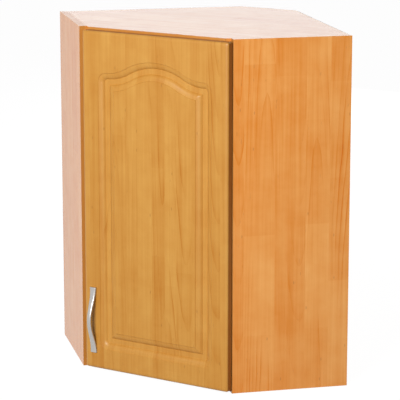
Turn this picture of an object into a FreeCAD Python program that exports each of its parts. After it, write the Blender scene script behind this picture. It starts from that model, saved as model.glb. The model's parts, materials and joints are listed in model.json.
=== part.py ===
import FreeCAD, Part
import math
import os

# Diagonal corner wall cabinet with one arched door, in millimetres.
# The door faces -Y, the two walls of the room meet behind it, +Z is up,
# and the origin is on the underside, midway between the rear ends of the two sides.

# Carcass
HEIGHT = 720.0
WALL_LENGTH = 500.0
SIDE_DEPTH = 242.0
CORNER_CUT = 102.0
BOARD = 16.0
SHEET = 3.0
SHEET_SHY = 1.0
REBATE = 8.0
BAND = 1.0
FRONT_SETBACK = 3.0

# Shelves and their pins
SHELF_COUNT = 2
SHELF_SETBACK = 22.0
SHELF_GAP = 0.5
PIN_RADIUS = 2.5
PIN_SINK = 8.0
PIN_REACH = 9.0
PIN_PLACES = (60.0, 190.0)
CORNER_PIN_SPREAD = 70.0

# Hidden joints of the boards
CAM_RADIUS = 7.5
CAM_DEPTH = 12.5
CAM_REACH = 34.0
CAM_PLACES = (70.0, 190.0)
CAM_FIT = 0.05
BOLT_RADIUS = 3.0
BOLT_THREAD_RADIUS = 2.5
BOLT_SINK = 9.0
BOLT_HOLE_RADIUS = 4.0
DOWEL_RADIUS = 4.0
DOWEL_LENGTH = 30.0
DOWEL_SINK = 10.0
DOWEL_PLACE = 130.0
CORNER_DOWEL_SPREAD = 60.0

# Nails of the back sheets
NAIL_RADIUS = 0.8
NAIL_HEAD_RADIUS = 2.0
NAIL_HEAD = 0.8
NAIL_LENGTH = 20.0
NAILS_ACROSS = 4
NAILS_UP = 6
NAIL_END = 30.0

# Wall hangers
HANGER_STEEL = 2.0
HANGER_LEG = 46.0
HANGER_HEIGHT = 60.0
HANGER_DROP = 12.0
HANGER_HOLE_RADIUS = 5.5
HANGER_HOLE_IN = 26.0
SHEET_HOLE_RADIUS = 10.0
HANGER_SCREW_IN = 24.0
HANGER_SCREW_SPACING = 32.0

# Door
DOOR_THICKNESS = 16.0
DOOR_BOTTOM = 6.5
DOOR_TOP_MARGIN = 4.5
DOOR_GAP = 1.5
DOOR_HINGE_MARGIN = 0.5
DOOR_FREE_MARGIN = 18.4
DOOR_CORNER = 4.0
RIM_WIDTH = 7.0
RIM_DEPTH = 4.2
RIM_STEPS = 6

# Routed arch of the door
FRAME_SIDE = 37.5
FRAME_BOTTOM = 43.5
CROWN_DROP = 53.2
ARCH_FLAT = 22.5
ARCH_RISE_TO_RUN = 0.2655
CROWN_SHARE = 0.62
GROOVE_DEPTH = 7.5
GROOVE_STEP = 1.3
OUTER_ROUND = 13.5
GROOVE_FLOOR = 11.1
INNER_ROUND = 14.1
FIELD_STEP = 1.3
CREASE = 1.3
ROUND_EASE = 0.38
ROUND_POWER = 4
OUTER_CORNER_RADIUS = 20.0
INNER_CORNER_RADIUS = 0.5
CORNER_SPLIT = 0.45
FLAT_SPLIT = 0.6
ROUND_STEPS = 8
CUT_OVERRUN = 1.0

# Hinges, in the plan of the hinge: leftwards from the right front corner, and outwards
HINGE_INSET = 100.0
PIVOT_LEFT = 12.0
PIVOT_OUT = 10.0
PIVOT_RADIUS = 1.3
PIVOT_PLAY = 0.05
CHEEK_HALF = 2.8
CHEEK_GAP = 0.4
CHEEK_STEEL = 2.0
CUP_CENTRE = 23.0
CUP_RADIUS = 17.5
CUP_DEPTH = 12.5
CUP_WALL = 0.9
CUP_FIT = 0.05
FLANGE = 1.2
FLANGE_RADIUS = 20.0
EAR_LEFT = 6.0
EAR_WIDTH = 16.0
EAR_HALF = 32.0
EAR_SCREW = 24.0
EYE_RADIUS = 2.6
ARM_STEEL = 2.0
ARM_HALF = 7.0
NECK_REACH = 13.0
NECK_FOOT_LEFT = 27.5
NECK_FOOT_OUT = -6.0
ARM_START = 8.0
ARM_END = 54.0
ARM_HEIGHT = 5.0
PLATE_START = 14.0
PLATE_END = 52.0
PLATE_HEIGHT = 7.0
PLATE_WING = 2.0
PLATE_WING_HALF = 24.0
PLATE_SCREW_BACK = 37.0
PLATE_SCREW_HALF = 16.0
WING_WIDTH = 16.0
ARM_SCREW_PLACES = (24.0, 44.0)

# Screws
SCREW_HEAD = 1.6
SCREW_HEAD_RADIUS = 3.4
SCREW_RADIUS = 1.75
SCREW_LENGTH = 11.0
EURO_RADIUS = 2.5
ARM_SCREW_RADIUS = 2.0
ARM_SCREW_HEAD_RADIUS = 4.0

# Handle
HANDLE_PITCH = 128.0
HANDLE_OVERHANG = 6.0
HANDLE_HEIGHT_ON_DOOR = 104.5
HANDLE_IN = 22.0
HANDLE_BOW = 15.5
HANDLE_FOOT = 3.0
HANDLE_STEEL = 5.0
HANDLE_WIDTH_END = 15.5
HANDLE_WIDTH_MIDDLE = 9.5
HANDLE_STEPS = 24
HANDLE_EDGE = 1.4
HANDLE_SCREW_RADIUS = 2.0
HANDLE_SCREW_HEAD_RADIUS = 4.5
HANDLE_SCREW_HEAD = 2.2
HANDLE_SCREW_GRIP = 3.5

# Bumpers behind the free edge of the door
BUMPER_RADIUS = 4.0
BUMPER_CLEAR = 0.3
BUMPER_IN = 24.0

# Worked-out places
ROOT2 = math.sqrt(2.0)
UP = FreeCAD.Vector(0.0, 0.0, 1.0)
ORIGIN = FreeCAD.Vector(0.0, 0.0, 0.0)
INNER = WALL_LENGTH - BOARD
CORNER_X = (WALL_LENGTH - SIDE_DEPTH) / ROOT2
CORNER_Y = -SIDE_DEPTH / ROOT2
FRONT_SUM = WALL_LENGTH + SIDE_DEPTH - FRONT_SETBACK * ROOT2
FRONT_HALF = (2 * INNER - FRONT_SUM) / ROOT2
DOOR_RIGHT = CORNER_X - DOOR_HINGE_MARGIN
DOOR_LEFT = DOOR_FREE_MARGIN - CORNER_X
DOOR_WIDTH = DOOR_RIGHT - DOOR_LEFT
DOOR_BACK = CORNER_Y - DOOR_GAP
DOOR_FRONT = DOOR_BACK - DOOR_THICKNESS
DOOR_TOP = HEIGHT - DOOR_TOP_MARGIN
HINGE_LEVELS = {"lower": DOOR_BOTTOM + HINGE_INSET, "upper": DOOR_TOP - HINGE_INSET}

os.makedirs("parts", exist_ok=True)


def save(name, shapes):
    """One node: a single solid, or like pieces kept as separate solids."""
    if isinstance(shapes, list):
        Part.makeCompound(shapes).exportStep("parts/" + name + ".step")
    else:
        shapes.exportStep("parts/" + name + ".step")


def twin(shape):
    """The same piece on the left side."""
    return shape.mirror(ORIGIN, FreeCAD.Vector(1.0, 0.0, 0.0))


def from_walls(shape):
    """From wall distances (off the right wall, off the left wall, up) to the cabinet's own frame."""
    shape.rotate(ORIGIN, UP, 225.0)
    shape.translate(FreeCAD.Vector(0.0, WALL_LENGTH / ROOT2, 0.0))
    return shape


def from_hinge(shape):
    """From the hinge plan (leftwards, outwards, up) to the cabinet's own frame."""
    shape.rotate(ORIGIN, UP, 180.0)
    shape.translate(FreeCAD.Vector(CORNER_X, CORNER_Y, 0.0))
    return shape


def prism(points, low, high):
    corners = [FreeCAD.Vector(a, b, low) for a, b in points]
    outline = Part.makePolygon(corners + corners[:1])
    return Part.Face(outline).extrude(FreeCAD.Vector(0.0, 0.0, high - low))


def box(start, end):
    sizes = [b - a for a, b in zip(start, end)]
    return Part.makeBox(*sizes, FreeCAD.Vector(*start))


def rod(radius, start, end):
    axis = FreeCAD.Vector(*end) - FreeCAD.Vector(*start)
    return Part.makeCylinder(radius, axis.Length, FreeCAD.Vector(*start), axis)


def along(start, end, distance):
    """A point at a distance from start on the line to end."""
    first = FreeCAD.Vector(*start)
    step = (FreeCAD.Vector(*end) - first).normalize() * distance
    return tuple(first + step)


def headed(head_radius, head, radius, start, end):
    """A screw or nail: start is the seat of its head, end is its tip."""
    top = along(start, end, -head)
    return rod(head_radius, top, start).fuse(rod(radius, start, end)).removeSplitter()


# Five-sided boards: top, bottom and shelves
def five_sided(side_gap, rear_gap, cut_sum, front_sum, low, high):
    inner = INNER - side_gap
    rear = SHEET + rear_gap
    points = [
        (rear, inner),
        (rear, cut_sum - rear),
        (cut_sum - rear, rear),
        (inner, rear),
        (inner, front_sum - inner),
        (front_sum - inner, inner),
    ]
    return from_walls(prism(points, low, high))


def front_band(side_gap, front_sum, low, high):
    """The edge band glued along the diagonal front of a five-sided board."""
    inner = INNER - side_gap
    back_sum = front_sum - BAND * ROOT2
    points = [
        (inner, back_sum - inner),
        (inner, front_sum - inner),
        (front_sum - inner, inner),
        (back_sum - inner, inner),
    ]
    return from_walls(prism(points, low, high))


def shelf_undersides():
    clear = HEIGHT - 2 * BOARD - SHELF_COUNT * BOARD
    bay = clear / (SHELF_COUNT + 1)
    return [BOARD + bay + step * (bay + BOARD) for step in range(SHELF_COUNT)]


# Fittings of the right side, in wall distances; the left side takes their twins
def board_levels():
    """Underside and top of the bottom and top boards, with the face that looks inside."""
    return [(0.0, BOARD, BOARD, -1.0), (HEIGHT - BOARD, HEIGHT, HEIGHT - BOARD, 1.0)]


def right_cam_bores():
    bores = []
    for low, high, face, into in board_levels():
        for place in CAM_PLACES:
            centre = INNER - CAM_REACH
            middle = (low + high) / 2
            cam_bottom = (place, centre, face + into * CAM_DEPTH)
            bores.append(from_walls(rod(CAM_RADIUS, (place, centre, face), cam_bottom)))
            bores.append(from_walls(rod(BOLT_HOLE_RADIUS, (place, centre, middle), (place, INNER, middle))))
    return bores


def right_bolt_threads():
    threads = []
    for low, high, face, into in board_levels():
        for place in CAM_PLACES:
            middle = (low + high) / 2
            start = (place, INNER, middle)
            threads.append(from_walls(rod(BOLT_THREAD_RADIUS, start, (place, INNER + BOLT_SINK, middle))))
    return threads


def right_cams():
    cams = []
    for low, high, face, into in board_levels():
        for place in CAM_PLACES:
            centre = INNER - CAM_REACH
            middle = (low + high) / 2
            cam_bottom = (place, centre, face + into * (CAM_DEPTH - CAM_FIT))
            cam = rod(CAM_RADIUS - CAM_FIT, (place, centre, face), cam_bottom)
            slot = rod(BOLT_HOLE_RADIUS, (place, centre, middle), (place, centre + CAM_RADIUS, middle))
            cams.append(from_walls(cam.cut(slot)))
    return cams


def right_bolts():
    bolts = []
    for low, high, face, into in board_levels():
        for place in CAM_PLACES:
            middle = (low + high) / 2
            tip = (place, INNER - CAM_REACH + BOLT_RADIUS, middle)
            seat = (place, INNER, middle)
            thread = rod(BOLT_THREAD_RADIUS, seat, (place, INNER + BOLT_SINK, middle))
            bolts.append(from_walls(rod(BOLT_RADIUS, tip, seat).fuse(thread).removeSplitter()))
    return bolts


def right_dowels():
    dowels = []
    for low, high, face, into in board_levels():
        middle = (low + high) / 2
        start = (DOWEL_PLACE, INNER + DOWEL_SINK, middle)
        end = (DOWEL_PLACE, INNER + DOWEL_SINK - DOWEL_LENGTH, middle)
        dowels.append(from_walls(rod(DOWEL_RADIUS, start, end)))
    return dowels


def corner_middle():
    """Wall distances of the middle of the rear corner board."""
    return CORNER_CUT / 2 + BOARD / (2 * ROOT2)


def corner_dowels():
    """Upright dowels at both ends of the rear corner board, as right and left pairs."""
    shift = CORNER_DOWEL_SPREAD / (2 * ROOT2)
    near = corner_middle() - shift
    far = corner_middle() + shift
    pairs = []
    for low, high, face, into in board_levels():
        for place in ((near, far), (far, near)):
            start = (*place, face + into * DOWEL_SINK)
            end = (*place, face + into * (DOWEL_SINK - DOWEL_LENGTH))
            pairs.append(from_walls(rod(DOWEL_RADIUS, start, end)))
    return pairs


def right_shelf_pins():
    pins = []
    for underside in shelf_undersides():
        level = underside - PIN_RADIUS
        for place in PIN_PLACES:
            start = (place, INNER + PIN_SINK, level)
            end = (place, INNER - PIN_REACH, level)
            pins.append(from_walls(rod(PIN_RADIUS, start, end)))
    return pins


def corner_shelf_pins():
    """Two pins a shelf in the inner face of the rear corner board."""
    inner_face = CORNER_CUT / 2 + BOARD / ROOT2
    shift = CORNER_PIN_SPREAD / (2 * ROOT2)
    sink = PIN_SINK / ROOT2
    reach = PIN_REACH / ROOT2
    pins = []
    for underside in shelf_undersides():
        level = underside - PIN_RADIUS
        for side in (-1.0, 1.0):
            off_right = inner_face + side * shift
            off_left = inner_face - side * shift
            start = (off_right - sink, off_left - sink, level)
            end = (off_right + reach, off_left + reach, level)
            pins.append(from_walls(rod(PIN_RADIUS, start, end)))
    return pins


def hanger_levels():
    top = HEIGHT - BOARD - HANGER_DROP
    return top - HANGER_HEIGHT, top


def right_hanger_screw_seats():
    low, high = hanger_levels()
    middle = (low + high) / 2
    face = INNER - HANGER_STEEL
    place = SHEET + HANGER_SCREW_IN
    return [(place, face, middle + step * HANGER_SCREW_SPACING / 2) for step in (-1.0, 1.0)]


def right_hanger_screws():
    screws = []
    for seat in right_hanger_screw_seats():
        tip = along(seat, (seat[0], WALL_LENGTH, seat[2]), SCREW_LENGTH)
        screws.append(from_walls(headed(SCREW_HEAD_RADIUS, SCREW_HEAD, SCREW_RADIUS, seat, tip)))
    return screws


def hanger_hole(radius, start, end):
    low, high = hanger_levels()
    place = INNER - HANGER_HOLE_IN
    level = (low + high) / 2
    return from_walls(rod(radius, (start, place, level), (end, place, level)))


def right_hanger():
    """Steel angle in the upper rear corner: one leg on the side panel, one on the back sheet."""
    low, high = hanger_levels()
    leg = box((SHEET, INNER - HANGER_STEEL, low), (SHEET + HANGER_LEG, INNER, high))
    flange = box((SHEET, INNER - HANGER_LEG, low), (SHEET + HANGER_STEEL, INNER, high))
    angle = from_walls(leg.fuse(flange).removeSplitter())
    return angle.cut([hanger_hole(HANGER_HOLE_RADIUS, 0.0, SHEET + HANGER_LEG)] + right_hanger_screws())


def right_nails():
    """Nails through the right back sheet into the edges of the side, top and bottom boards."""
    start = CORNER_CUT + NAIL_END
    end = INNER - NAIL_END
    places = []
    for low, high, face, into in board_levels():
        for step in range(NAILS_ACROSS):
            places.append((start + (end - start) * step / (NAILS_ACROSS - 1), (low + high) / 2))
    for step in range(NAILS_UP):
        level = NAIL_END + (HEIGHT - 2 * NAIL_END) * step / (NAILS_UP - 1)
        places.append((INNER + REBATE / 2, level))
    nails = []
    for place, level in places:
        seat = (NAIL_HEAD, place, level)
        tip = (NAIL_LENGTH, place, level)
        nails.append(from_walls(headed(NAIL_HEAD_RADIUS, NAIL_HEAD, NAIL_RADIUS, seat, tip)))
    return nails


# Boards of the carcass
def right_panel():
    """The right side, rebated along its rear edge for the back sheet."""
    blank = from_walls(box((0.0, INNER, 0.0), (SIDE_DEPTH - BAND, WALL_LENGTH, HEIGHT)))
    rebate_start = (-CUT_OVERRUN, INNER - CUT_OVERRUN, -CUT_OVERRUN)
    rebate = from_walls(box(rebate_start, (SHEET, INNER + REBATE, HEIGHT + CUT_OVERRUN)))
    holes = right_bolt_threads() + right_dowels() + right_shelf_pins()
    holes += right_hanger_screws() + right_nails()
    return blank.cut([rebate] + holes)


def end_board(low, high):
    """The top or the bottom, with every bore for its fittings."""
    blank = five_sided(0.0, 0.0, CORNER_CUT, FRONT_SUM - BAND * ROOT2, low, high)
    right = right_cam_bores() + right_dowels() + right_nails()
    return blank.cut(right + [twin(hole) for hole in right] + corner_dowels())


def shelf(underside):
    cut_sum = CORNER_CUT + (BOARD + SHELF_GAP) * ROOT2
    front_sum = FRONT_SUM - (SHELF_SETBACK + BAND) * ROOT2
    return five_sided(SHELF_GAP, SHELF_GAP, cut_sum, front_sum, underside, underside + BOARD)


def shelf_band(underside):
    return front_band(SHELF_GAP, FRONT_SUM - SHELF_SETBACK * ROOT2, underside, underside + BOARD)


def corner_board():
    """Narrow upright board across the cut corner, its ends bevelled against the back sheets."""
    inner_sum = CORNER_CUT + BOARD * ROOT2
    points = [
        (SHEET, CORNER_CUT - SHEET),
        (CORNER_CUT - SHEET, SHEET),
        (inner_sum - SHEET, SHEET),
        (SHEET, inner_sum - SHEET),
    ]
    blank = from_walls(prism(points, BOARD, HEIGHT - BOARD))
    return blank.cut(corner_dowels() + corner_shelf_pins())


def right_sheet():
    end = (SHEET, INNER + REBATE - SHEET_SHY, HEIGHT - SHEET_SHY)
    blank = from_walls(box((0.0, CORNER_CUT, SHEET_SHY), end))
    return blank.cut(right_nails() + [hanger_hole(SHEET_HOLE_RADIUS, 0.0, SHEET)])


# Door
def arch_outline(offset, depth):
    """Outline of the routed ring, moved inwards by an offset, at a depth below the door's face."""
    left = DOOR_LEFT + FRAME_SIDE + offset
    right = DOOR_RIGHT - FRAME_SIDE - offset
    bottom = DOOR_BOTTOM + FRAME_BOTTOM + offset
    middle = (left + right) / 2
    half = (right - left) / 2
    run = DOOR_WIDTH / 2 - FRAME_SIDE - ARCH_FLAT
    rise = ARCH_RISE_TO_RUN * run
    crown = DOOR_TOP - CROWN_DROP
    shoulder = crown - rise
    both_radii = (run ** 2 + rise ** 2) / (2 * rise)
    sweep = math.asin(run / both_radii)
    crown_start = CROWN_SHARE * both_radii
    crown_radius = crown_start - offset
    shoulder_radius = both_radii - crown_start + offset
    crown_centre = crown - crown_start
    shoulder_centre = shoulder + both_radii - crown_start
    corner = max(OUTER_CORNER_RADIUS - offset, INNER_CORNER_RADIUS)
    bend = corner * (1.0 - math.sqrt(0.5))
    level = shoulder - offset
    y = DOOR_FRONT + depth

    def at(x, z):
        return FreeCAD.Vector(x, y, z)

    def line(first, last):
        return Part.LineSegment(first, last).toShape()

    def arc(first, between, last):
        return Part.Arc(first, between, last).toShape()

    def on_crown(angle):
        return at(middle + crown_radius * math.sin(angle), crown_centre + crown_radius * math.cos(angle))

    def on_shoulder(side, angle):
        x = middle + side * (run - shoulder_radius * math.sin(angle))
        return at(x, shoulder_centre - shoulder_radius * math.cos(angle))

    def shoulder_arc(side, first, last):
        return arc(on_shoulder(side, first), on_shoulder(side, (first + last) / 2), on_shoulder(side, last))

    def upper_corner(side):
        """From the side inwards: corner and flat of one shoulder, or what the side leaves of its round."""
        edge = middle + side * half
        if half - corner > run:
            top = at(edge - side * corner, level)
            turn = arc(at(edge, level - corner), at(edge - side * bend, level - bend), top)
            flat = line(top, on_shoulder(side, 0.0))
            return [turn, flat, shoulder_arc(side, 0.0, sweep)]
        cut = math.asin((run - half) / shoulder_radius)
        stops = [cut, CORNER_SPLIT * sweep, FLAT_SPLIT * sweep, sweep]
        return [shoulder_arc(side, first, last) for first, last in zip(stops, stops[1:])]

    right_corner = upper_corner(1.0)
    left_corner = upper_corner(-1.0)
    edges = [
        line(at(left + corner, bottom), at(right - corner, bottom)),
        arc(at(right - corner, bottom), at(right - bend, bottom + bend), at(right, bottom + corner)),
        line(at(right, bottom + corner), right_corner[0].Vertexes[0].Point),
        *right_corner,
        arc(on_crown(sweep), on_crown(0.0), on_crown(-sweep)),
        *reversed(left_corner),
        line(left_corner[0].Vertexes[0].Point, at(left, bottom + corner)),
        arc(at(left, bottom + corner), at(left + bend, bottom + bend), at(left + corner, bottom)),
    ]
    return Part.Wire(edges)


def routed_ring():
    """What the router takes out: a creased slope to a flat floor, and its like up to the field."""
    shares = [step / ROUND_STEPS for step in range(ROUND_STEPS + 1)]
    steeper = [ROUND_EASE * share + (1.0 - ROUND_EASE) * share ** ROUND_POWER for share in shares]
    outer = [arch_outline(0.0, -CUT_OVERRUN), arch_outline(0.0, 0.0)]
    for share, fall in zip(shares, steeper):
        offset = CREASE + (OUTER_ROUND - CREASE) * share
        outer.append(arch_outline(offset, GROOVE_STEP + (GROOVE_DEPTH - GROOVE_STEP) * fall))
    field_edge = OUTER_ROUND + GROOVE_FLOOR + INNER_ROUND
    inner = [arch_outline(field_edge, -CUT_OVERRUN), arch_outline(field_edge, 0.0)]
    for share, fall in zip(shares, steeper):
        offset = field_edge - CREASE - (INNER_ROUND - CREASE) * share
        inner.append(arch_outline(offset, FIELD_STEP + (GROOVE_DEPTH - FIELD_STEP) * fall))
    pocket = Part.makeLoft(outer, True, True)
    field = Part.makeLoft(inner, True, True)
    return pocket.cut(field)


def door_outline(inset, depth):
    """Outline of the door, moved inwards by an inset, at a depth below its face."""
    y = DOOR_FRONT + depth
    left = DOOR_LEFT + inset
    right = DOOR_RIGHT - inset
    bottom = DOOR_BOTTOM + inset
    top = DOOR_TOP - inset
    bend = DOOR_CORNER * (1.0 - math.sqrt(0.5))
    turns = []
    corners = ((right, bottom, -1, 1), (right, top, -1, -1), (left, top, 1, -1), (left, bottom, 1, 1))
    for x, z, inwards, upwards in corners:
        on_level = FreeCAD.Vector(x + inwards * DOOR_CORNER, y, z)
        between = FreeCAD.Vector(x + inwards * bend, y, z + upwards * bend)
        on_side = FreeCAD.Vector(x, y, z + upwards * DOOR_CORNER)
        ends = (on_side, on_level) if inwards == upwards else (on_level, on_side)
        turns.append((ends[0], between, ends[1]))
    edges = []
    for before, turn in zip([turns[-1]] + turns, turns):
        edges.append(Part.LineSegment(before[-1], turn[0]).toShape())
        edges.append(Part.Arc(*turn).toShape())
    return Part.Wire(edges)


def door_blank():
    """The board with its rim rounded off in front, further inwards than back."""
    sections = [door_outline(0.0, DOOR_THICKNESS)]
    for step in range(RIM_STEPS + 1):
        angle = math.pi / 2 * step / RIM_STEPS
        inset = RIM_WIDTH * (1.0 - math.cos(angle))
        sections.append(door_outline(inset, RIM_DEPTH * (1.0 - math.sin(angle))))
    return Part.makeLoft(sections, True, True)


def handle_levels():
    middle = DOOR_BOTTOM + HANDLE_HEIGHT_ON_DOOR
    return middle - HANDLE_PITCH / 2, middle + HANDLE_PITCH / 2


def handle_screws():
    x = DOOR_LEFT + HANDLE_IN
    screws = []
    for level in handle_levels():
        seat = (x, DOOR_BACK, level)
        tip = (x, DOOR_FRONT - HANDLE_SCREW_GRIP, level)
        screws.append(headed(HANDLE_SCREW_HEAD_RADIUS, HANDLE_SCREW_HEAD, HANDLE_SCREW_RADIUS, seat, tip))
    return screws


def door_panel():
    bores = [routed_ring()] + handle_screws()
    for level in HINGE_LEVELS.values():
        start = (CUP_CENTRE, -DOOR_GAP, level)
        bores.append(from_hinge(rod(CUP_RADIUS, start, (CUP_CENTRE, DOOR_GAP + CUP_DEPTH, level))))
        bores += cup_screws(level)
    return door_blank().cut(bores)


def handle_section(drop):
    """Outline of the bow handle at a height above or below its middle."""
    half_length = HANDLE_PITCH / 2 + HANDLE_OVERHANG
    swing = half_length - HANDLE_FOOT
    share = min(abs(drop) / swing, 1.0)
    lift = HANDLE_BOW * (1.0 + math.cos(math.pi * share)) / 2
    spread = (drop / half_length) ** 2
    half = (HANDLE_WIDTH_MIDDLE + (HANDLE_WIDTH_END - HANDLE_WIDTH_MIDDLE) * spread) / 2
    x = DOOR_LEFT + HANDLE_IN
    back = DOOR_FRONT - lift
    front = back - HANDLE_STEEL
    z = DOOR_BOTTOM + HANDLE_HEIGHT_ON_DOOR + drop
    points = [
        (x - half, back),
        (x + half, back),
        (x + half, front + HANDLE_EDGE),
        (x + half - HANDLE_EDGE, front),
        (x - half + HANDLE_EDGE, front),
        (x - half, front + HANDLE_EDGE),
    ]
    corners = [FreeCAD.Vector(a, b, z) for a, b in points]
    return Part.makePolygon(corners + corners[:1])


def handle():
    half_length = HANDLE_PITCH / 2 + HANDLE_OVERHANG
    steps = range(HANDLE_STEPS + 1)
    sections = [handle_section(half_length * (2.0 * step / HANDLE_STEPS - 1.0)) for step in steps]
    return Part.makeLoft(sections, True, True).cut(handle_screws())


def bumpers():
    x = BUMPER_IN - FRONT_HALF
    thickness = DOOR_GAP + FRONT_SETBACK - BUMPER_CLEAR
    levels = (BOARD - BUMPER_RADIUS, HEIGHT - BOARD + BUMPER_RADIUS + CUT_OVERRUN)
    return [rod(BUMPER_RADIUS, (x, DOOR_BACK, z), (x, DOOR_BACK + thickness, z)) for z in levels]


# Hinges
def cup_screws(level):
    screws = []
    for side in (-1.0, 1.0):
        seat = (CUP_CENTRE + EAR_LEFT, DOOR_GAP - FLANGE, level + side * EAR_SCREW)
        tip = along(seat, (seat[0], DOOR_GAP + DOOR_THICKNESS, seat[2]), SCREW_LENGTH)
        screws.append(from_hinge(headed(SCREW_HEAD_RADIUS, SCREW_HEAD, SCREW_RADIUS, seat, tip)))
    return screws


def hinge_cup(level):
    """Pressed cup sunk in the door, with a flange, two screw ears and two cheeks that hold the pin."""
    bottom = DOOR_GAP + CUP_DEPTH
    mouth = DOOR_GAP - FLANGE
    wall = rod(CUP_RADIUS - CUP_FIT, (CUP_CENTRE, mouth, level), (CUP_CENTRE, bottom, level))
    rim = rod(FLANGE_RADIUS, (CUP_CENTRE, mouth, level), (CUP_CENTRE, DOOR_GAP, level))
    ear_start = CUP_CENTRE + EAR_LEFT - EAR_WIDTH / 2
    ears = box((ear_start, mouth, level - EAR_HALF), (ear_start + EAR_WIDTH, DOOR_GAP, level + EAR_HALF))
    cheeks = []
    for side in (-1.0, 1.0):
        near = level + side * (ARM_HALF + CHEEK_GAP)
        far = near + side * CHEEK_STEEL
        start = (PIVOT_LEFT - CHEEK_HALF, PIVOT_OUT - CHEEK_HALF, min(near, far))
        cheeks.append(box(start, (PIVOT_LEFT + CHEEK_HALF, bottom - CUP_WALL, max(near, far))))
    hollow_radius = CUP_RADIUS - CUP_FIT - CUP_WALL
    hollow = rod(hollow_radius, (CUP_CENTRE, mouth, level), (CUP_CENTRE, bottom - CUP_WALL, level))
    shell = wall.fuse([rim, ears]).removeSplitter().cut(hollow)
    cup = from_hinge(shell.fuse(cheeks).removeSplitter())
    return cup.cut(cup_screws(level) + [hinge_pin(level)])


def hinge_pin(level):
    half = ARM_HALF + CHEEK_GAP + CHEEK_STEEL
    start = (PIVOT_LEFT, PIVOT_OUT, level - half)
    end = (PIVOT_LEFT, PIVOT_OUT, level + half)
    return from_hinge(rod(PIVOT_RADIUS, start, end))


def from_panel(back, inwards):
    """Hinge plan of a point on the right panel: back from its front end, inwards from its inner face."""
    return (BOARD + inwards - back) / ROOT2, -(BOARD + inwards + back) / ROOT2


def strip(points, width, low, high):
    """Bent strip of steel along a line of points, with round bends."""
    pieces = []
    for (a, b), (c, d) in zip(points, points[1:]):
        length = math.hypot(c - a, d - b)
        run = box((0.0, -width / 2, low), (length, width / 2, high))
        run.rotate(ORIGIN, UP, math.degrees(math.atan2(d - b, c - a)))
        run.translate(FreeCAD.Vector(a, b, 0.0))
        pieces.append(run)
    for a, b in points[1:-1]:
        pieces.append(rod(width / 2, (a, b, low), (a, b, high)))
    return pieces[0].fuse(pieces[1:])


def arm_screws(level):
    screws = []
    for back in ARM_SCREW_PLACES:
        seat = (*from_panel(back, PLATE_HEIGHT + ARM_HEIGHT), level)
        tip = (*from_panel(back, PLATE_WING), level)
        screws.append(from_hinge(headed(ARM_SCREW_HEAD_RADIUS, SCREW_HEAD, ARM_SCREW_RADIUS, seat, tip)))
    return screws


def hinge_arm(level):
    """Goose-neck arm: an eye on the pivot pin, a neck round the door's edge and a bar on the plate."""
    low = level - ARM_HALF
    high = level + ARM_HALF
    pivot = (PIVOT_LEFT, PIVOT_OUT)
    eye = rod(EYE_RADIUS, (*pivot, low), (*pivot, high))
    foot = from_panel(ARM_START, PLATE_HEIGHT + ARM_HEIGHT / 2)
    bends = [pivot, (PIVOT_LEFT + NECK_REACH, PIVOT_OUT), (NECK_FOOT_LEFT, NECK_FOOT_OUT), foot]
    neck = strip(bends, ARM_STEEL, low, high)
    bar = strip([foot, from_panel(ARM_END, PLATE_HEIGHT + ARM_HEIGHT / 2)], ARM_HEIGHT, low, high)
    hole = rod(PIVOT_RADIUS + PIVOT_PLAY, (*pivot, low), (*pivot, high))
    arm = from_hinge(eye.fuse([neck, bar]).removeSplitter().cut(hole))
    return arm.cut(arm_screws(level))


def plate_screws(level):
    screws = []
    for side in (-1.0, 1.0):
        height = level + side * PLATE_SCREW_HALF
        seat = (*from_panel(PLATE_SCREW_BACK, PLATE_WING), height)
        tip = (*from_panel(PLATE_SCREW_BACK, PLATE_WING - SCREW_LENGTH), height)
        screws.append(from_hinge(headed(SCREW_HEAD_RADIUS, SCREW_HEAD, EURO_RADIUS, seat, tip)))
    return screws


def hinge_plate(level):
    """Mounting plate on the inner face of the right panel: a raised rib and two wings."""
    def on_panel(start, end, half, height):
        first = (SIDE_DEPTH - end, INNER - height, level - half)
        last = (SIDE_DEPTH - start, INNER, level + half)
        return from_walls(box(first, last))

    rib = on_panel(PLATE_START, PLATE_END, ARM_HALF, PLATE_HEIGHT)
    wing_start = PLATE_SCREW_BACK - WING_WIDTH / 2
    wings = on_panel(wing_start, wing_start + WING_WIDTH, PLATE_WING_HALF, PLATE_WING)
    return rib.fuse(wings).removeSplitter().cut(arm_screws(level) + plate_screws(level))


def with_twins(shapes):
    return shapes + [twin(shape) for shape in shapes]


# Carcass nodes
panel = right_panel()
right_side = panel
for hinge_level in HINGE_LEVELS.values():
    right_side = right_side.cut(plate_screws(hinge_level))
end_band = from_walls(box((SIDE_DEPTH - BAND, INNER, 0.0), (SIDE_DEPTH, WALL_LENGTH, HEIGHT)))
save("right_side_panel", right_side)
save("left_side_panel", twin(panel))
save("right_panel_band", end_band)
save("left_panel_band", twin(end_band))
save("top_panel", end_board(HEIGHT - BOARD, HEIGHT))
save("top_band", front_band(0.0, FRONT_SUM, HEIGHT - BOARD, HEIGHT))
save("bottom_panel", end_board(0.0, BOARD))
save("bottom_band", front_band(0.0, FRONT_SUM, 0.0, BOARD))
for shelf_name, shelf_level in zip(("lower_shelf", "upper_shelf"), shelf_undersides()):
    save(shelf_name, shelf(shelf_level))
    save(shelf_name + "_band", shelf_band(shelf_level))
save("corner_board", corner_board())
save("right_back_sheet", right_sheet())
save("left_back_sheet", twin(right_sheet()))
save("back_nails", with_twins(right_nails()))
save("cam_fittings", with_twins(right_cams()))
save("cam_bolts", with_twins(right_bolts()))
save("dowels", with_twins(right_dowels()) + corner_dowels())
save("shelf_pins", with_twins(right_shelf_pins()) + corner_shelf_pins())
save("right_hanger", right_hanger())
save("left_hanger", twin(right_hanger()))
save("hanger_screws", with_twins(right_hanger_screws()))

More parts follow.
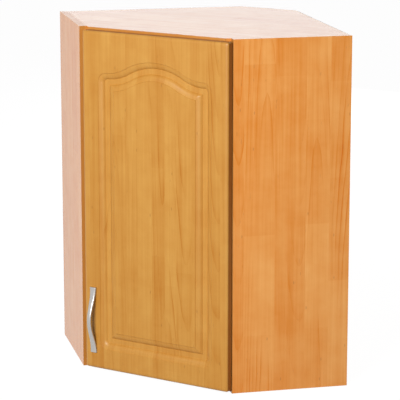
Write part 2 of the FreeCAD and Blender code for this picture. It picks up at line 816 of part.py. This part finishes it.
# Hinge nodes
for hinge_name, hinge_level in HINGE_LEVELS.items():
    save(hinge_name + "_hinge_plate", hinge_plate(hinge_level))
    save(hinge_name + "_hinge_arm", hinge_arm(hinge_level))
    save(hinge_name + "_hinge_cup", hinge_cup(hinge_level))
save("hinge_pins", [hinge_pin(level) for level in HINGE_LEVELS.values()])
save("plate_screws", [screw for level in HINGE_LEVELS.values() for screw in plate_screws(level)])
save("arm_screws", [screw for level in HINGE_LEVELS.values() for screw in arm_screws(level)])
save("cup_screws", [screw for level in HINGE_LEVELS.values() for screw in cup_screws(level)])

# Door nodes
save("door_panel", door_panel())
save("handle", handle())
save("handle_screws", handle_screws())
save("door_bumpers", bumpers())
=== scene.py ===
import bpy
import bmesh
import json
import math
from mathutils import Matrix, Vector

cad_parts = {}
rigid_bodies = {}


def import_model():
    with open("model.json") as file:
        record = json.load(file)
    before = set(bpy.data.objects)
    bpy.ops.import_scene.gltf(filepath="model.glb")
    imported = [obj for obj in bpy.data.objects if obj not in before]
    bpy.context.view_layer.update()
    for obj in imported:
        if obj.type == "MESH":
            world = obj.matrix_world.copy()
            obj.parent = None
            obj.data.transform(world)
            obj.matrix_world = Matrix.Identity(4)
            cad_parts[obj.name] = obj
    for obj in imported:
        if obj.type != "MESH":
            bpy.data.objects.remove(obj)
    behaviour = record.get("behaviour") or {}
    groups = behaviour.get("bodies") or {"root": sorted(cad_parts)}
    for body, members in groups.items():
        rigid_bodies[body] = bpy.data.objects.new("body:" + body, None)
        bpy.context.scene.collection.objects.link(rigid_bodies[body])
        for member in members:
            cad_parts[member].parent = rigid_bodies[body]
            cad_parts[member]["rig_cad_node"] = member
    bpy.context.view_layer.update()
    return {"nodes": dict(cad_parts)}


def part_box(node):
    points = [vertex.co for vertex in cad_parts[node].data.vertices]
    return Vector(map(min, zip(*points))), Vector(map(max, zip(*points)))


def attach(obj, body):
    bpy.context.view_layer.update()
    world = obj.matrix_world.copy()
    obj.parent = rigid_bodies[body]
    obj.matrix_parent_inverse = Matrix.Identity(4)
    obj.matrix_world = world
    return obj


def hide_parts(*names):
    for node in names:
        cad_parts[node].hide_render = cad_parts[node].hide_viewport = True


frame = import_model()

# The studio that the cabinet stands in: a floor of white paper in a white room.
# One broad lamp stands in front, a weak glow behind skims the top,
# and a low fill reaches the sides that hang against the walls.
scene = bpy.context.scene
scene.view_settings.view_transform = "Standard"
white = (1.0, 1.0, 1.0, 1.0)
room_fill = 0.15
room_seen = 1.0
floor_size = 30.0
floor_level = -0.0006
paper_grey = 0.36
paper_grey_seen = 0.08
paper_glow_seen = 0.968


def add_node(tree, kind, inputs=None, **settings):
    """One shader node, each input set to a value or linked to a socket."""
    made = tree.nodes.new(kind)
    for name, value in settings.items():
        setattr(made, name, value)
    for name, value in (inputs or {}).items():
        if isinstance(value, bpy.types.NodeSocket):
            tree.links.new(value, made.inputs[name])
        else:
            made.inputs[name].default_value = value
    return made


def math_in(tree, operation, first, second=0.0, third=0.0):
    return add_node(tree, "ShaderNodeMath", {0: first, 1: second, 2: third}, operation=operation).outputs[0]


def seen_directly(tree):
    """1 for what the camera, a mirror or a glass sees, 0 for light that falls on the object."""
    path = add_node(tree, "ShaderNodeLightPath").outputs
    shiny = math_in(tree, "MAXIMUM", path["Is Camera Ray"], path["Is Glossy Ray"])
    return math_in(tree, "MAXIMUM", shiny, path["Is Transmission Ray"])


def bare_finish(name):
    """A material without any node yet."""
    made = bpy.data.materials.new(name)
    made.use_nodes = True
    made.node_tree.nodes.clear()
    return made


world = bpy.data.worlds.new("white_room")
world.use_nodes = True
world.node_tree.nodes.clear()
scene.world = world
room = add_node(world.node_tree, "ShaderNodeMapRange",
                {"Value": seen_directly(world.node_tree), "To Min": room_fill, "To Max": room_seen})
glow = add_node(world.node_tree, "ShaderNodeBackground", {"Color": white, "Strength": room.outputs[0]})
add_node(world.node_tree, "ShaderNodeOutputWorld", {"Surface": glow.outputs[0]})

bpy.ops.object.select_all(action="DESELECT")
bpy.ops.mesh.primitive_plane_add(size=floor_size, location=(0.0, 0.0, floor_level))
floor = bpy.context.object
floor.name = "pale_floor"
paper = bare_finish("white_paper")
tree = paper.node_tree
seen = seen_directly(tree)
grey = add_node(tree, "ShaderNodeMapRange", {"Value": seen, "To Min": paper_grey, "To Max": paper_grey_seen})
lit = add_node(tree, "ShaderNodeMapRange", {"Value": seen, "To Min": 0.0, "To Max": paper_glow_seen})
matt = add_node(tree, "ShaderNodeBsdfDiffuse", {"Color": grey.outputs[0]})
shine = add_node(tree, "ShaderNodeEmission", {"Color": white, "Strength": lit.outputs[0]})
both = add_node(tree, "ShaderNodeAddShader", {0: matt.outputs[0], 1: shine.outputs[0]})
add_node(tree, "ShaderNodeOutputMaterial", {"Surface": both.outputs[0]})
floor.data.materials.append(paper)


def soft_lamp(name, place, aim, width, height, watts):
    lamp = bpy.data.lights.new(name, "AREA")
    lamp.shape = "RECTANGLE"
    lamp.size = width
    lamp.size_y = height
    lamp.energy = watts
    stand = bpy.data.objects.new(name, lamp)
    scene.collection.objects.link(stand)
    stand.location = place
    stand.rotation_euler = (Vector(aim) - Vector(place)).to_track_quat("-Z", "Y").to_euler()
    stand.visible_camera = False


soft_lamp("front_lamp", place=(0.34, -3.28, 1.50), aim=(0.0, -0.1, 0.40), width=1.5, height=1.4, watts=122.0)
soft_lamp("rear_glow", place=(-1.25, 2.1, 1.25), aim=(0.0, 0.05, 0.72), width=2.8, height=1.1, watts=8.2)
soft_lamp("rear_fill", place=(0.0, 3.3, 0.42), aim=(0.0, 0.2, 0.36), width=2.6, height=0.5, watts=75.0)

camera_tilt = math.radians(77.46)
camera_turn = math.radians(31.837)
camera = bpy.data.objects.new("camera", bpy.data.cameras.new("camera"))
scene.collection.objects.link(camera)
scene.camera = camera
camera.data.sensor_width = 36.0
camera.data.lens = 185.03
camera.location = (2.220, -3.5747, 1.2826)
camera.rotation_euler = (camera_tilt, 0.0, camera_turn)

# Side panels: chipboard with a glossy laminate printed as alder, sawn square at both ends.
# The print shows staves of uneven width and length glued side by side,
# each with the arches of its own tree and with fine pores.
nodes = frame["nodes"]
stave_unevenness = 0.9
stave_slip = 0.7
staves_per_metre = 5.5
length_share = 0.45
width_share = 0.55
heart_play = 1.1
heart_centre = 0.55
mid_height = 0.36
rings_per_metre = 165.0
ring_sharpness = 5.0
ring_wander = 0.020
ring_tremble = 0.0016
mark_size = (36.0, 12.0)
mark_rarity = 0.80

grain = bpy.data.node_groups.new("stave_grain", "ShaderNodeTree")
grain.interface.new_socket(name="Along", in_out="INPUT", socket_type="NodeSocketVector")
for socket in ("Stave", "Seed"):
    grain.interface.new_socket(name=socket, in_out="INPUT", socket_type="NodeSocketFloat")
for socket in ("Stave Tone", "Streaks", "Rings", "Pores", "Relief"):
    grain.interface.new_socket(name=socket, in_out="OUTPUT", socket_type="NodeSocketFloat")
ends = add_node(grain, "NodeGroupInput").outputs
place = add_node(grain, "ShaderNodeSeparateXYZ", {0: ends["Along"]}).outputs


def noise_in(tree, vector, scale, detail, roughness=0.5):
    stretched = add_node(tree, "ShaderNodeMapping", {"Vector": vector, "Scale": scale}).outputs[0]
    look = {"Vector": stretched, "Scale": 1.0, "Detail": detail, "Roughness": roughness}
    return add_node(tree, "ShaderNodeTexNoise", look).outputs[0]


def spread(tree, value, low, high):
    limits = {"Value": value, "From Min": low, "From Max": high}
    return add_node(tree, "ShaderNodeMapRange", limits).outputs[0]


def cells_in(tree, inputs, dimensions):
    """Random cells, and the three chance values that each cell holds."""
    cells = add_node(tree, "ShaderNodeTexVoronoi", {"Scale": 1.0, **inputs}, voronoi_dimensions=dimensions)
    return cells.outputs, add_node(tree, "ShaderNodeSeparateColor", {0: cells.outputs["Color"]}).outputs


# staves across the board, and the print of each one slipped along its own length
across = place["X"]
count = math_in(grain, "ADD", math_in(grain, "DIVIDE", across, ends["Stave"]), ends["Seed"])
staves, chance = cells_in(grain, {"W": count, "Randomness": stave_unevenness}, "1D")
shifted = math_in(grain, "MULTIPLY_ADD", chance[2], stave_slip, place["Z"])
own = add_node(grain, "ShaderNodeCombineXYZ", {0: across, 1: place["Y"], 2: shifted}).outputs[0]

# year rings: cones about a heart line, which the cut shows as arches
wander = math_in(grain, "SUBTRACT", noise_in(grain, own, (16.0, 16.0, 2.6), 2.0), 0.5)
tremble = math_in(grain, "SUBTRACT", noise_in(grain, own, (70.0, 70.0, 12.0), 2.0), 0.5)
heart = math_in(grain, "SUBTRACT", math_in(grain, "MULTIPLY_ADD", chance[1], heart_play, count), staves["W"])
heart = math_in(grain, "MULTIPLY", math_in(grain, "SUBTRACT", heart, heart_centre), ends["Stave"])
heart = math_in(grain, "MULTIPLY_ADD", wander, ring_wander, heart)
flip = math_in(grain, "MULTIPLY_ADD", math_in(grain, "GREATER_THAN", chance[0], 0.5), -2.0, 1.0)
level = math_in(grain, "MULTIPLY", math_in(grain, "SUBTRACT", place["Z"], mid_height), flip)
level = math_in(grain, "ADD", level, math_in(grain, "MULTIPLY_ADD", chance[1], 0.4, 0.46))
tilt = math_in(grain, "MULTIPLY_ADD", chance[2], 0.055, 0.008)
deep_in = math_in(grain, "MULTIPLY_ADD", level, tilt, 0.002)
deep_square = math_in(grain, "MULTIPLY", deep_in, deep_in)
reach = math_in(grain, "ADD", math_in(grain, "MULTIPLY", heart, heart), deep_square)
reach = math_in(grain, "MULTIPLY_ADD", tremble, ring_tremble, math_in(grain, "SQRT", reach))
years = math_in(grain, "MULTIPLY", reach, rings_per_metre)
first_year = math_in(grain, "MULTIPLY", chance[0], 9.0)
year_number = math_in(grain, "ADD", math_in(grain, "FLOOR", years), first_year)
year = add_node(grain, "ShaderNodeTexWhiteNoise", {"W": year_number}, noise_dimensions="1D").outputs["Value"]
rings = math_in(grain, "POWER", math_in(grain, "FRACT", years), ring_sharpness)
flank = spread(grain, math_in(grain, "DIVIDE", math_in(grain, "ABSOLUTE", heart), reach), 0.0, 0.5)
rings = math_in(grain, "MULTIPLY", rings, math_in(grain, "MULTIPLY_ADD", flank, 0.75, 0.25))
rings = math_in(grain, "MULTIPLY", rings, math_in(grain, "MULTIPLY_ADD", year, 0.9, 0.1))
where = spread(grain, noise_in(grain, own, (14.0, 14.0, 2.8), 2.0), 0.40, 0.62)
rings = math_in(grain, "MULTIPLY", rings, where)

# streaks: broad and narrow stripes, cloudy figure and single fibres
broad = spread(grain, noise_in(grain, own, (70.0, 30.0, 1.9), 2.0), 0.25, 0.75)
narrow = spread(grain, noise_in(grain, own, (190.0, 60.0, 3.4), 3.0, 0.6), 0.25, 0.75)
figure = spread(grain, noise_in(grain, own, (13.0, 10.0, 16.0), 3.0, 0.6), 0.25, 0.75)
fibres = noise_in(grain, ends["Along"], (820.0, 820.0, 11.0), 3.0, 0.6)
streaks = math_in(grain, "MULTIPLY_ADD", narrow, 0.32, math_in(grain, "MULTIPLY", broad, 0.24))
streaks = math_in(grain, "MULTIPLY_ADD", figure, 0.34, streaks)
streaks = math_in(grain, "MULTIPLY_ADD", fibres, 0.10, streaks)

# pores and a few longer flecks
mark_across = math_in(grain, "MULTIPLY", across, mark_size[0])
mark_along = math_in(grain, "MULTIPLY", shifted, mark_size[1])
sheet = add_node(grain, "ShaderNodeCombineXYZ", {0: mark_across, 1: mark_along}).outputs[0]
marks, mark_chance = cells_in(grain, {"Vector": sheet, "Randomness": 1.0}, "2D")
flecks = spread(grain, marks["Distance"], 0.055, 0.02)
flecks = math_in(grain, "MULTIPLY", flecks, math_in(grain, "GREATER_THAN", mark_chance[0], mark_rarity))
pores = noise_in(grain, ends["Along"], (330.0, 330.0, 60.0), 1.0)
pores = math_in(grain, "MULTIPLY", spread(grain, pores, 0.72, 0.80), where)
pores = math_in(grain, "MAXIMUM", pores, flecks)
relief = math_in(grain, "MULTIPLY_ADD", pores, -0.6, fibres)

# each stave is butt-jointed from shorter lengths, which differ in tone
stave_start = math_in(grain, "MULTIPLY", chance[1], 37.0)
along = math_in(grain, "MULTIPLY_ADD", place["Z"], staves_per_metre, stave_start)
lengths, length_chance = cells_in(grain, {"W": along, "Randomness": stave_unevenness}, "1D")
tones = math_in(grain, "MULTIPLY", chance[0], width_share)
tones = math_in(grain, "MULTIPLY_ADD", length_chance[0], length_share, tones)
add_node(grain, "NodeGroupOutput",
         {"Stave Tone": tones, "Streaks": streaks, "Rings": rings, "Pores": pores, "Relief": relief})


def blend(tree, share, first, second, clamped=True):
    """Two colours mixed; sockets 6, 7 and 2 are the Mix node's colour ones."""
    parts = {0: share, 6: first, 7: second}
    return add_node(tree, "ShaderNodeMix", parts, data_type="RGBA", clamp_factor=clamped).outputs[2]


def alder(name, turn, stave, seed, pale, deep, pore, contrast, roughness, index, ends_dull=0.0):
    """A printed alder finish; turn lays the grain along the board, ends_dull dims the shine of its ends."""
    made = bare_finish(name)
    tree = made.node_tree
    spot = add_node(tree, "ShaderNodeTexCoord").outputs
    turned = [math.radians(angle) for angle in turn]
    laid = add_node(tree, "ShaderNodeMapping", {"Vector": spot["Object"], "Rotation": turned})
    wood = add_node(tree, "ShaderNodeGroup", node_tree=grain)
    tree.links.new(laid.outputs[0], wood.inputs["Along"])
    wood.inputs["Stave"].default_value = stave
    wood.inputs["Seed"].default_value = seed
    print_of = wood.outputs
    by_stave, by_streak, by_ring = contrast
    tone = math_in(tree, "SUBTRACT", print_of["Stave Tone"], 0.5)
    tone = math_in(tree, "MULTIPLY_ADD", tone, by_stave, 0.5)
    streak = math_in(tree, "SUBTRACT", print_of["Streaks"], 0.5)
    tone = math_in(tree, "MULTIPLY_ADD", streak, by_streak, tone)
    tone = math_in(tree, "MULTIPLY_ADD", print_of["Rings"], by_ring, tone)
    body = blend(tree, tone, (*pale, 1.0), (*deep, 1.0), clamped=False)
    colour = blend(tree, math_in(tree, "MULTIPLY", print_of["Pores"], 0.42), body, (*pore, 1.0))
    bump = add_node(tree, "ShaderNodeBump",
                    {"Height": print_of["Relief"], "Strength": 0.05, "Distance": 0.0003})
    sheen = add_node(tree, "ShaderNodeMapRange",
                     {"Value": print_of["Streaks"], "To Min": roughness - 0.03, "To Max": roughness + 0.05})
    facing = add_node(tree, "ShaderNodeSeparateXYZ", {0: spot["Normal"]}).outputs
    on_end = math_in(tree, "GREATER_THAN", math_in(tree, "ABSOLUTE", facing["Z"]), 0.9)
    dull = math_in(tree, "MULTIPLY_ADD", on_end, ends_dull, sheen.outputs[0])
    skin = add_node(tree, "ShaderNodeBsdfPrincipled",
                    {"Base Color": colour, "Roughness": dull, "IOR": index, "Normal": bump.outputs[0]})
    add_node(tree, "ShaderNodeOutputMaterial", {"Surface": skin.outputs[0]})
    return made


def dress(material, *names):
    for name in names:
        nodes[name].data.materials.clear()
        nodes[name].data.materials.append(material)


panel_pore = (0.40, 0.13, 0.03)


def panel_alder(name, turn, seed, ends_dull=0.0):
    """The laminate that every board of the cabinet has."""
    return alder(name, turn, stave=0.064, seed=seed, pale=(0.86, 0.374, 0.089), deep=(0.745, 0.238, 0.022),
                 pore=panel_pore, contrast=(0.72, 1.80, 1.60), roughness=0.22, index=1.44,
                 ends_dull=ends_dull)


dress(panel_alder("alder_right", (0.0, 0.0, -45.0), 17.4), "right_side_panel")
dress(panel_alder("alder_left", (0.0, 0.0, 45.0), 11.7, ends_dull=0.06), "left_side_panel")

# Top and bottom boards: five-sided chipboard with the same laminate, its grain along the front.
# They are let in between the side panels, flush with their ends, and held by cams and dowels.
flat_alder = panel_alder("alder_flat", (-90.0, -90.0, 0.0), 5.1)
dress(flat_alder, "top_panel", "bottom_panel")


# Edge bands: thin strip printed as alder, glued on every sawn front edge and trimmed flush; their darker,
# browner tone is partly painted shade of the recesses beside and above the door.
def band_alder(name, turn, seed):
    # the darker band colours are partly painted shade of the narrow recesses they sit in
    return alder(name, turn, stave=0.02, seed=seed, pale=(0.58, 0.245, 0.045), deep=(0.48, 0.175, 0.026),
                 pore=panel_pore, contrast=(0.8, 1.2, 0.3), roughness=0.4, index=1.4)


dress(band_alder("band_upright", (0.0, 0.0, 0.0), 2.0), "right_panel_band", "left_panel_band")
dress(band_alder("band_flat", (0.0, 90.0, 0.0), 4.0), "top_band", "bottom_band", "lower_shelf_band",
      "upper_shelf_band")

# Shelves and the narrow rear corner board: chipboard laminated as the rest.
# The shelves lie loose on steel pins, and the corner board closes the cut corner behind them.
dress(flat_alder, "lower_shelf", "upper_shelf")
dress(panel_alder("alder_corner", (0.0, 0.0, 0.0), 7.9), "corner_board")

# Back sheets: thin brown hardboard of pressed fibres, left bare on the wall side.
# They lie in a rebate of the side panels and are nailed on the rear edges of the boards.
hardboard = bare_finish("hardboard")
tree = hardboard.node_tree
spot = add_node(tree, "ShaderNodeTexCoord").outputs
felt = noise_in(tree, spot["Object"], (260.0, 260.0, 260.0), 5.0, 0.7)
cloud = noise_in(tree, spot["Object"], (9.0, 9.0, 9.0), 3.0)
mottle = math_in(tree, "MULTIPLY_ADD", cloud, 0.5, math_in(tree, "MULTIPLY", felt, 0.5))
brown = blend(tree, mottle, (0.62, 0.36, 0.16, 1.0), (0.48, 0.25, 0.10, 1.0))
bump = add_node(tree, "ShaderNodeBump", {"Height": felt, "Strength": 0.25, "Distance": 0.0004})
skin = add_node(tree, "ShaderNodeBsdfPrincipled",
                {"Base Color": brown, "Roughness": 0.72, "Normal": bump.outputs[0]})
add_node(tree, "ShaderNodeOutputMaterial", {"Surface": skin.outputs[0]})
dress(hardboard, "left_back_sheet", "right_back_sheet")


# Steel fittings: zinc-plated nails, cams, bolts, screws and hangers, driven into the boards,
# and pressed hinges and turned pins with a brighter nickel plating.
def plated(name, colour, tarnish, roughness):
    """Plated metal with faint clouding and fine rolling marks."""
    made = bare_finish(name)
    tree = made.node_tree
    spot = add_node(tree, "ShaderNodeTexCoord").outputs
    cloud = noise_in(tree, spot["Object"], (120.0, 120.0, 120.0), 4.0, 0.6)
    rolled = noise_in(tree, spot["Object"], (2200.0, 2200.0, 90.0), 2.0)
    body = blend(tree, cloud, (*colour, 1.0), (*tarnish, 1.0))
    sheen = add_node(tree, "ShaderNodeMapRange",
                     {"Value": cloud, "From Min": 0.3, "From Max": 0.7,
                      "To Min": roughness - 0.06, "To Max": roughness + 0.08})
    bump = add_node(tree, "ShaderNodeBump", {"Height": rolled, "Strength": 0.08, "Distance": 0.0001})
    skin = add_node(tree, "ShaderNodeBsdfPrincipled",
                    {"Base Color": body, "Metallic": 1.0, "Roughness": sheen.outputs[0],
                     "Normal": bump.outputs[0]})
    add_node(tree, "ShaderNodeOutputMaterial", {"Surface": skin.outputs[0]})
    return made


zinc = plated("zinc_plate", colour=(0.66, 0.67, 0.69), tarnish=(0.50, 0.51, 0.52), roughness=0.36)
nickel = plated("nickel_plate", colour=(0.76, 0.74, 0.70), tarnish=(0.64, 0.62, 0.58), roughness=0.22)
dress(zinc, "back_nails", "cam_fittings", "cam_bolts", "hanger_screws", "left_hanger", "right_hanger",
      "plate_screws", "arm_screws", "cup_screws", "handle_screws")
dress(nickel, "shelf_pins", "lower_hinge_plate", "upper_hinge_plate", "lower_hinge_arm", "upper_hinge_arm",
      "lower_hinge_cup", "upper_hinge_cup", "hinge_pins")

# Dowels: plain turned pegs of solid beech.
# They are glued into the ends of the boards and out of sight once the cabinet is together.
beech = alder("beech_peg", (0.0, 0.0, 0.0), stave=0.01, seed=1.0, pale=(0.66, 0.46, 0.27),
              deep=(0.56, 0.37, 0.20), pore=(0.36, 0.2, 0.1), contrast=(0.6, 1.0, 0.2),
              roughness=0.6, index=1.4)
dress(beech, "dowels")

# Door: fibreboard routed with an arched ring and wrapped in a satin alder foil of a yellower print.
# The foil runs over every edge, so the mesh is one smooth skin; its side, top and bottom faces are redder
# and darker, painted shade of the gaps beside the carcass.
weld = 0.00001
crease = math.radians(32.0)
shaded_edge_facing = 0.9
bpy.ops.object.select_all(action="DESELECT")
nodes["door_panel"].select_set(True)
bpy.context.view_layer.objects.active = nodes["door_panel"]
bpy.ops.object.duplicate()
door = bpy.context.object
door.name = "arched_door"
del door["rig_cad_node"]
bpy.ops.object.mode_set(mode="EDIT")
bpy.ops.mesh.select_all(action="SELECT")
bpy.ops.mesh.remove_doubles(threshold=weld)
bpy.ops.object.mode_set(mode="OBJECT")
bpy.ops.mesh.customdata_custom_splitnormals_clear()
bpy.ops.object.shade_smooth_by_angle(angle=crease)
even = door.modifiers.new("even_light", "WEIGHTED_NORMAL")
even.keep_sharp = True
bpy.ops.object.modifier_apply(modifier=even.name)


def foil_alder(name, pale, deep, roughness, index):
    return alder(name, (0.0, 0.0, 0.0), stave=0.030, seed=69.8, pale=pale, deep=deep,
                 pore=(0.25, 0.09, 0.01), contrast=(0.30, 1.45, 1.15), roughness=roughness, index=index)


foil = foil_alder("door_foil", pale=(0.585, 0.297, 0.058), deep=(0.468, 0.187, 0.018),
                  roughness=0.40, index=1.44)
# painted shade: a redder, darker foil for the door's edge faces, with a duller shine
shaded_edge_skin = foil_alder("door_edge_painted_shade", pale=(0.60, 0.235, 0.048), deep=(0.48, 0.150, 0.018),
                       roughness=0.60, index=1.22)
door.data.materials.clear()
door.data.materials.append(foil)
door.data.materials.append(shaded_edge_skin)
# faces turned sideways, up or down get the painted-shade foil
for face in door.data.polygons:
    face.material_index = int(max(abs(face.normal.x), abs(face.normal.z)) > shaded_edge_facing)
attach(door, "door")
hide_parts("door_panel")

# Bumpers: small clear pads of soft plastic.
# They are stuck on the back of the door near its free edge and meet the front of the carcass.
pad = bare_finish("soft_pad")
tree = pad.node_tree
spot = add_node(tree, "ShaderNodeTexCoord").outputs
haze = noise_in(tree, spot["Object"], (900.0, 900.0, 900.0), 2.0)
milk = blend(tree, haze, (0.80, 0.78, 0.74, 1.0), (0.70, 0.68, 0.63, 1.0))
skin = add_node(tree, "ShaderNodeBsdfPrincipled", {"Base Color": milk, "Roughness": 0.3})
add_node(tree, "ShaderNodeOutputMaterial", {"Surface": skin.outputs[0]})
dress(pad, "door_bumpers")

# Handle: a bowed bar of satin metal, broad at its feet and slim in the middle.
# Its outer face is slightly crowned, and two screws from behind the door hold its feet.
low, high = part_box("handle")
middle = (low + high) / 2
half_length = (high.z - low.z) / 2
foot = 0.003
steel = 0.005
bow = (high.y - low.y) - steel
slim_width = 0.0095
foot_flare = 0.006
crown_fall = 0.03
shoulder_fall = 0.46
cuts_along = 31
cuts_across = 15
bpy.ops.object.select_all(action="DESELECT")
bpy.ops.mesh.primitive_cube_add(size=1.0, location=(0.0, 0.0, 0.0))
handle = bpy.context.object
handle.name = "bow_handle"
bpy.ops.object.mode_set(mode="EDIT")
mesh = bmesh.from_edit_mesh(handle.data)
bpy.ops.mesh.select_mode(type="EDGE")
bpy.ops.mesh.select_all(action="DESELECT")
for edge in mesh.edges:
    edge.select_set(abs(edge.verts[0].co.z - edge.verts[1].co.z) > 0.5)
bpy.ops.mesh.subdivide(number_cuts=cuts_along)
for edge in mesh.edges:
    edge.select_set(abs(edge.verts[0].co.x - edge.verts[1].co.x) > 0.5)
bpy.ops.mesh.subdivide(number_cuts=cuts_across)
bpy.ops.object.mode_set(mode="OBJECT")
for vertex in handle.data.vertices:
    side = vertex.co.x * 2.0
    outer = vertex.co.y < 0.0
    drop = vertex.co.z * 2.0 * half_length
    swing = min(abs(drop) / (half_length - foot), 1.0)
    lift = bow * (1.0 + math.cos(math.pi * swing)) / 2
    half_width = (slim_width + foot_flare * (drop / half_length) ** 2) / 2
    crown = steel * (1.0 - shoulder_fall * side ** 8 - crown_fall * side ** 2) if outer else 0.0
    vertex.co = (middle.x + side * half_width, high.y - lift - crown, middle.z + drop)
bpy.ops.object.shade_smooth()
soft = handle.modifiers.new("rolled_edges", "BEVEL")
soft.width = 0.0006
soft.segments = 2
soft.limit_method = "ANGLE"
soft.angle_limit = math.radians(40.0)
bpy.ops.object.modifier_apply(modifier=soft.name)
even = handle.modifiers.new("even_light", "WEIGHTED_NORMAL")
bpy.ops.object.modifier_apply(modifier=even.name)
satin = plated("satin_bow", colour=(0.52, 0.50, 0.48), tarnish=(0.43, 0.41, 0.39), roughness=0.30)
handle.data.materials.append(satin)
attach(handle, "door")
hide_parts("handle")
